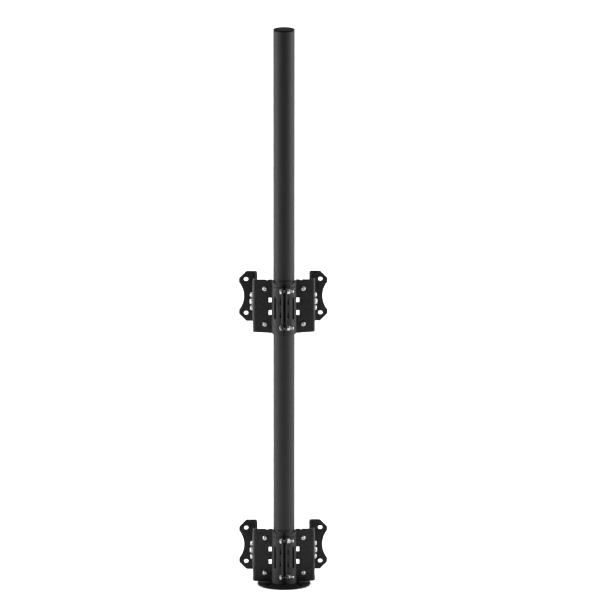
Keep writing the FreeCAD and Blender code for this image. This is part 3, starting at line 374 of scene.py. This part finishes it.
def thread_rings(size, start, end):
    """A plain neck under the head, then ridges down to a bevelled tip."""
    pitch = size["pitch"]
    crest = size["thread"] / 2 - 0.02
    root = crest - THREAD_DEPTH * pitch
    height = start - PLAIN_NECK
    rings = [ring(crest, start), ring(crest, height)]
    while height - pitch > end + TIP_LENGTH:
        rings.append(ring(root, height - pitch / 2))
        rings.append(ring(crest, height - pitch * CREST_START))
        rings.append(ring(crest, height - pitch))
        height -= pitch
    rings.append(ring(root, end + TIP_BEVEL))
    rings.append(ring(root - 0.3, end))
    rings.append(ring(0, end))
    return rings


def round_head_bolt(name, size, length):
    """Domed head with a hexagon socket; the bolt is centred on its own length."""
    top = length / 2
    radius = size["head"] / 2
    seat = top - size["head_height"]
    dome_height = size["head_height"] - HEAD_RIM
    depth = size["head_height"] * 0.55
    flat = size["socket"] * 0.66
    rings = [ring(0, top - depth - 0.5),
             hex_ring(size["socket"] - 0.1, top - depth),
             hex_ring(size["socket"], top - 0.25),
             hex_ring(size["socket"] + 0.45, top)]
    for step in range(DOME_STEPS + 1):
        turn = math.radians(90) * step / DOME_STEPS
        rings.append(ring(flat + (radius - flat) * math.sin(turn),
                          seat + HEAD_RIM + dome_height * math.cos(turn)))
    rings.append(ring(radius - 0.05, seat + 0.25))
    rings.append(ring(radius - 0.3, seat))
    rings += thread_rings(size, seat, -length / 2)
    return turned(name, rings)


def hex_head_bolt(name, size, length):
    """Hexagon head with a shallow dish in its top."""
    top = length / 2
    seat = top - size["hex_height"]
    flats = size["flats"]
    rings = [ring(0, top - 0.25), ring(flats * 0.36, top - 0.25), ring(flats * 0.39, top),
             ring(flats * 0.485, top),
             hex_chamfer_ring(flats, top, -HEX_BEVEL_SLOPE),
             hex_ring(flats, seat + 0.35),
             ring(flats * 0.47, seat)]
    rings += thread_rings(size, seat, -length / 2)
    return turned(name, rings)


def locking_nut(name, size, length):
    """Chamfered hexagon with the round collar that holds its locking ring."""
    top = length / 2
    bottom = -top
    shoulder = top - COLLAR
    flats = size["flats"]
    bore = size["thread"] / 2 + 0.04
    rings = [ring(bore, bottom + 0.3), ring(bore + 0.45, bottom),
             ring(flats * 0.485, bottom),
             hex_chamfer_ring(flats, bottom, HEX_BEVEL_SLOPE),
             hex_chamfer_ring(flats, shoulder, -HEX_BEVEL_SLOPE),
             ring(flats * 0.475, shoulder + 0.05),
             ring(flats * 0.44, shoulder + 0.25),
             ring(flats * 0.435, top - 0.7),
             ring(flats * 0.41, top - 0.2),
             ring(flats * 0.37, top),
             ring(bore + 0.35, top),
             ring(bore, top - 0.4)]
    return turned(name, rings, closed=True)


def washer(name, size, thickness, outer):
    """A flat washer, a hair clear of what slides past it."""
    top = thickness / 2 - RUNNING_GAP
    bore = size["thread"] / 2 + 0.2
    rings = [ring(bore, -top), ring(outer - 0.15, -top), ring(outer, -top + 0.2),
             ring(outer, top - 0.3), ring(outer - 0.35, top), ring(bore + 0.15, top),
             ring(bore, top - 0.15)]
    return turned(name, rings, closed=True)


# ---------------------------------------------------------------- setting the fasteners

def make_setting_tree():
    """Geometry nodes that set one fastener on every point, along the point's own axis."""
    tree = bpy.data.node_groups.new("set_fasteners", "GeometryNodeTree")
    sockets = (("Geometry", "INPUT", "NodeSocketGeometry"),
               ("Fastener", "INPUT", "NodeSocketObject"),
               ("Spin Seed", "INPUT", "NodeSocketInt"),
               ("Finish", "INPUT", "NodeSocketMaterial"),
               ("Geometry", "OUTPUT", "NodeSocketGeometry"))
    for label, direction, kind in sockets:
        tree.interface.new_socket(label, in_out=direction, socket_type=kind)
    nodes = tree.nodes
    start = nodes.new("NodeGroupInput")
    end = nodes.new("NodeGroupOutput")
    source = nodes.new("GeometryNodeObjectInfo")
    axis = nodes.new("GeometryNodeInputNamedAttribute")
    axis.data_type = "FLOAT_VECTOR"
    axis.inputs["Name"].default_value = "axis"
    align = nodes.new("FunctionNodeAlignRotationToVector")
    align.axis = "Z"
    spin = nodes.new("FunctionNodeRandomValue")
    spin.data_type = "FLOAT"
    spin.inputs[3].default_value = math.radians(60)
    turn = nodes.new("FunctionNodeAxisAngleToRotation")
    turn.inputs["Axis"].default_value = (0, 0, 1)
    both = nodes.new("FunctionNodeRotateRotation")
    both.rotation_space = "LOCAL"
    instances = nodes.new("GeometryNodeInstanceOnPoints")
    realize = nodes.new("GeometryNodeRealizeInstances")
    paint = nodes.new("GeometryNodeSetMaterial")
    wires = ((start.outputs["Fastener"], source.inputs["Object"]),
             (start.outputs["Spin Seed"], spin.inputs["Seed"]),
             (axis.outputs["Attribute"], align.inputs["Vector"]),
             (spin.outputs[1], turn.inputs["Angle"]),
             (align.outputs["Rotation"], both.inputs["Rotation"]),
             (turn.outputs["Rotation"], both.inputs["Rotate By"]),
             (start.outputs["Geometry"], instances.inputs["Points"]),
             (source.outputs["Geometry"], instances.inputs["Instance"]),
             (both.outputs["Rotation"], instances.inputs["Rotation"]),
             (instances.outputs["Instances"], realize.inputs["Geometry"]),
             (realize.outputs["Geometry"], paint.inputs["Geometry"]),
             (start.outputs["Finish"], paint.inputs["Material"]),
             (paint.outputs["Geometry"], end.inputs["Geometry"]))
    for source_socket, target_socket in wires:
        tree.links.new(source_socket, target_socket)
    return tree


SETTING_TREE = make_setting_tree()
SETTING_INPUTS = {item.name: item.identifier for item in SETTING_TREE.interface.items_tree
                  if item.in_out == "INPUT"}


def loose_boxes(node):
    """Lowest and highest corner of each separate solid of a CAD node."""
    shape = merged(node)
    left = set(shape.verts)
    boxes = []
    while left:
        stack = [left.pop()]
        island = []
        while stack:
            vertex = stack.pop()
            island.append(vertex.co.copy())
            for edge in vertex.link_edges:
                other = edge.other_vert(vertex)
                if other in left:
                    left.remove(other)
                    stack.append(other)
        low = Vector(map(min, *island))
        high = Vector(map(max, *island))
        boxes.append((low, high))
    shape.free()
    return sorted(boxes, key=lambda corners: tuple(corners[0]))


def set_fasteners(name, seats, mesh, material_slot, seed):
    """One plain mesh with the fastener's mesh at each (centre, axis) seat."""
    pattern = object_from(name + "_pattern", mesh)
    points = bpy.data.meshes.new(name + "_seats")
    points.from_pydata([centre for centre, axis in seats], [], [])
    directions = points.attributes.new("axis", "FLOAT_VECTOR", "POINT")
    for index, (centre, axis) in enumerate(seats):
        directions.data[index].vector = axis
    host = object_from(name + "_host", points)
    modifier = host.modifiers.new("setting", "NODES")
    modifier.node_group = SETTING_TREE
    modifier[SETTING_INPUTS["Fastener"]] = pattern
    modifier[SETTING_INPUTS["Spin Seed"]] = seed
    modifier[SETTING_INPUTS["Finish"]] = FINISHES[material_slot]
    evaluated = host.evaluated_get(bpy.context.evaluated_depsgraph_get())
    made = bpy.data.meshes.new_from_object(evaluated)
    made.name = name
    for helper in (host, pattern):
        bpy.data.objects.remove(helper)
    return object_from(name, made)


def towards_left(centre):
    return Vector((-1, 0, 0))


def towards_right(centre):
    return Vector((1, 0, 0))


def towards_front(centre):
    return Vector((0, -1, 0))


def towards_back(centre):
    return Vector((0, 1, 0))


def outwards(centre):
    return Vector((math.copysign(1, centre.x), 0, 0))


def inwards(centre):
    return -outwards(centre)


def length_along(corners, axis):
    span = corners[1] - corners[0]
    return abs(span.dot(axis)) / MM


def make_fastener_group(node, kind, size, facing, seed):
    """Turn one CAD fastener group into detailed pieces at the same seats."""
    boxes = loose_boxes(node)
    centres = [(low + high) / 2 for low, high in boxes]
    seats = [(centre, facing(centre)) for centre in centres]
    length = length_along(boxes[0], seats[0][1])
    mesh = kind(node + "_shape", size, length)
    piece = set_fasteners(node + "_set", seats, mesh, SLOT_OF[node], seed)
    return finish_piece(piece, BODY_OF[node], SLOT_OF[node], node)


FASTENERS = (
    ("pinch_bolts", hex_head_bolt, SMALL, towards_left),
    ("pinch_nuts", locking_nut, SMALL, towards_right),
    ("clamp_bolts", round_head_bolt, SMALL, towards_front),
    ("clamp_nuts", locking_nut, SMALL, towards_back),
    ("pivot_bolts", round_head_bolt, LARGE, outwards),
    ("pivot_nuts", locking_nut, LARGE, inwards),
    ("lock_screws", round_head_bolt, SMALL, outwards),
    ("lock_nuts", locking_nut, SMALL, inwards),
    ("rod_screws", round_head_bolt, SMALL, outwards),
)
WASHERS = (("pinch_washers", outwards), ("clamp_washers", towards_back),
           ("tilt_washers", outwards))
SMALL_WASHER_LIMIT = 7


def make_washers(node, facing, seed):
    """Washers of both sizes may share a node, so they are set by outer radius."""
    by_radius = {}
    for low, high in loose_boxes(node):
        centre = (low + high) / 2
        radius = round((high.z - low.z) / 2 / MM, 1)
        by_radius.setdefault(radius, []).append((centre, facing(centre), (low, high)))
    for radius, found in sorted(by_radius.items()):
        size = LARGE if radius > SMALL_WASHER_LIMIT else SMALL
        label = f"{node}_{size['thread']:.0f}"
        thickness = length_along(found[0][2], found[0][1])
        mesh = washer(label + "_shape", size, thickness, radius)
        seats = [(centre, axis) for centre, axis, corners in found]
        piece = set_fasteners(label + "_set", seats, mesh, SLOT_OF[node], seed)
        finish_piece(piece, BODY_OF[node], SLOT_OF[node], node)


def make_fasteners():
    seed = 0
    for bracket in BRACKETS:
        for name, kind, size, facing in FASTENERS:
            seed += 1
            make_fastener_group(f"{bracket}_{name}", kind, size, facing, seed)
        for name, facing in WASHERS:
            seed += 1
            make_washers(f"{bracket}_{name}", facing, seed)


# ---------------------------------------------------------------- pole and sheet parts

TUBE_WALL = 2.6
TUBE_EDGE = 0.4
CAP_ROUNDING = 2.6
CAP_STEM_WALL = 2.6
CAP_STEM_GAP = 0.1
CAP_ROUNDING_STEPS = 8


def make_pole_tube():
    low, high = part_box("pole_tube")
    outer = (high.x - low.x) / 2 / MM
    inner = outer - TUBE_WALL
    bottom = low.z / MM
    top = high.z / MM
    rings = [ring(inner, bottom), ring(outer - TUBE_EDGE, bottom),
             ring(outer, bottom + TUBE_EDGE), ring(outer, top - TUBE_EDGE),
             ring(outer - TUBE_EDGE, top), ring(inner, top)]
    mesh = turned("pole_tube_turned", rings, segments=160, closed=True)
    finish_piece(object_from("pole_tube_body", mesh), BODY_OF["pole_tube"],
                 SLOT_OF["pole_tube"], "pole_tube")


def make_pole_cap():
    """A slightly crowned top with a hollow stem that fills the mouth of the tube."""
    low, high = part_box("pole_cap")
    outer = (high.x - low.x) / 2 / MM
    bottom = low.z / MM
    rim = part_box("pole_tube")[1].z / MM
    top = high.z / MM
    stem = outer - TUBE_WALL - CAP_STEM_GAP
    hollow = stem - CAP_STEM_WALL
    rings = [ring(0, rim), ring(hollow, rim), ring(hollow, bottom),
             ring(stem - 0.4, bottom), ring(stem, bottom + 1),
             ring(stem, rim + 0.05), ring(outer - 0.3, rim + 0.05), ring(outer, rim + 0.35)]
    for step in range(CAP_ROUNDING_STEPS + 1):
        turn = math.radians(90) * step / CAP_ROUNDING_STEPS
        rings.append(ring(outer - CAP_ROUNDING * (1 - math.cos(turn)),
                          top - 0.5 - CAP_ROUNDING * (1 - math.sin(turn))))
    rings += [ring(outer * 0.5, top - 0.12), ring(0, top)]
    mesh = turned("pole_cap_turned", rings, segments=128)
    finish_piece(object_from("pole_cap_body", mesh), BODY_OF["pole_cap"],
                 SLOT_OF["pole_cap"], "pole_cap")


SHEET_EDGE = 0.45
BLOCK_EDGE = 0.5
FINE_EDGE = 0.3
SOFTENED = {"base_plate": BLOCK_EDGE, "pole_foot_plug": FINE_EDGE}
for bracket in BRACKETS:
    for side in ("left", "right"):
        SOFTENED[f"{bracket}_clamp_half_{side}"] = SHEET_EDGE
        SOFTENED[f"{bracket}_clamp_strap_{side}"] = SHEET_EDGE
        SOFTENED[f"{bracket}_display_plate_{side}"] = SHEET_EDGE
        SOFTENED[f"{bracket}_spacer_block_{side}"] = BLOCK_EDGE
        SOFTENED[f"{bracket}_pole_liner_{side}"] = FINE_EDGE
    for level in ("upper", "lower"):
        SOFTENED[f"{bracket}_saddle_{level}"] = SHEET_EDGE
        SOFTENED[f"{bracket}_spreader_rod_{level}"] = FINE_EDGE


def make_softened_parts():
    for node, width in SOFTENED.items():
        finish_piece(softened_copy(node, width), BODY_OF[node], SLOT_OF[node], node)


def dress_cad_nodes():
    """CAD nodes that stay as they are still get their finish."""
    for node, piece in NODES.items():
        for material_slot in piece.material_slots:
            material_slot.material = FINISHES[SLOT_OF[node]]


# ---------------------------------------------------------------- studio

def make_floor():
    """A plain floor that reaches past the edge of the view."""
    reach = 40
    mesh = bpy.data.meshes.new("studio_floor")
    mesh.from_pydata([(-reach, -reach, 0), (reach, -reach, 0), (reach, reach, 0),
                      (-reach, reach, 0)], [], [(0, 1, 2, 3)])
    mesh.materials.append(studio_floor())
    object_from("studio_floor", mesh)


def make_softbox(name, place, target, width, height, watts):
    """A rectangular lamp at a place, turned to face its target."""
    light = bpy.data.lights.new(name, "AREA")
    light.shape = "RECTANGLE"
    light.size = width
    light.size_y = height
    light.energy = watts
    box = bpy.data.objects.new(name, light)
    box.location = place
    box.rotation_euler = (Vector(target) - Vector(place)).to_track_quat("-Z", "Y").to_euler()
    bpy.context.scene.collection.objects.link(box)


def make_surroundings():
    """A white room behind and beside the object, and a dim one in front of it."""
    world = bpy.data.worlds.new("studio")
    world.use_nodes = True
    room = NodeSet(world.node_tree)
    direction = room.node("ShaderNodeTexCoord", output="Generated")
    depth = room.node("ShaderNodeSeparateXYZ", {}, {"Vector": direction}, output="Y")
    values = {"Value": depth, "From Min": -0.35, "From Max": 0.25, "To Min": 0.03, "To Max": 1.0}
    strength = room.node("ShaderNodeMapRange", {"clamp": True}, values)
    background = world.node_tree.nodes["Background"]
    room.tree.links.new(strength.socket, background.inputs["Strength"])
    background.inputs["Color"].default_value = (1, 1, 1, 1)
    bpy.context.scene.world = world


def make_studio():
    """One softbox on each side of the object and two over the floor behind it."""
    middle = (cad_low + cad_high) / 2
    ceiling = cad_high.z + 2.6
    for name, across in (("left_softbox", -2.3), ("right_softbox", 2.3)):
        make_softbox(name, place=(across, 0.1, 0.9), target=(0, 0, middle.z),
                     width=1.2, height=2.2, watts=110)
    make_softbox("top_softbox", place=(0, 2.4, ceiling), target=(0, 2.2, 0),
                 width=5, height=5, watts=260)
    make_softbox("rear_softbox", place=(0, 6.5, ceiling), target=(0, 6.5, 0),
                 width=9, height=6, watts=420)
    make_surroundings()
    bpy.context.scene.view_settings.view_transform = "Standard"


def make_camera():
    """A long lens far off, a little above the object's middle and a touch to its left."""
    elevation = math.radians(12.5)
    azimuth = math.radians(-1.3)
    distance = 25
    frame_width = 1.3416
    aim = Vector((0, 0, 0.6536))
    side_step = 0.0358
    camera_data = bpy.data.cameras.new("camera")
    camera_data.sensor_width = 36
    camera_data.lens = camera_data.sensor_width * distance / frame_width
    camera_data.shift_x = side_step / frame_width
    camera = bpy.data.objects.new("camera", camera_data)
    back = Vector((math.sin(azimuth) * math.cos(elevation),
                   -math.cos(azimuth) * math.cos(elevation), math.sin(elevation)))
    camera.location = aim + back * distance
    camera.rotation_euler = (-back).to_track_quat("-Z", "Y").to_euler()
    camera_data.clip_end = 100
    bpy.context.scene.collection.objects.link(camera)
    bpy.context.scene.camera = camera


dress_cad_nodes()
make_pole_tube()
make_pole_cap()
make_softened_parts()
make_fasteners()
make_floor()
make_studio()
make_camera()
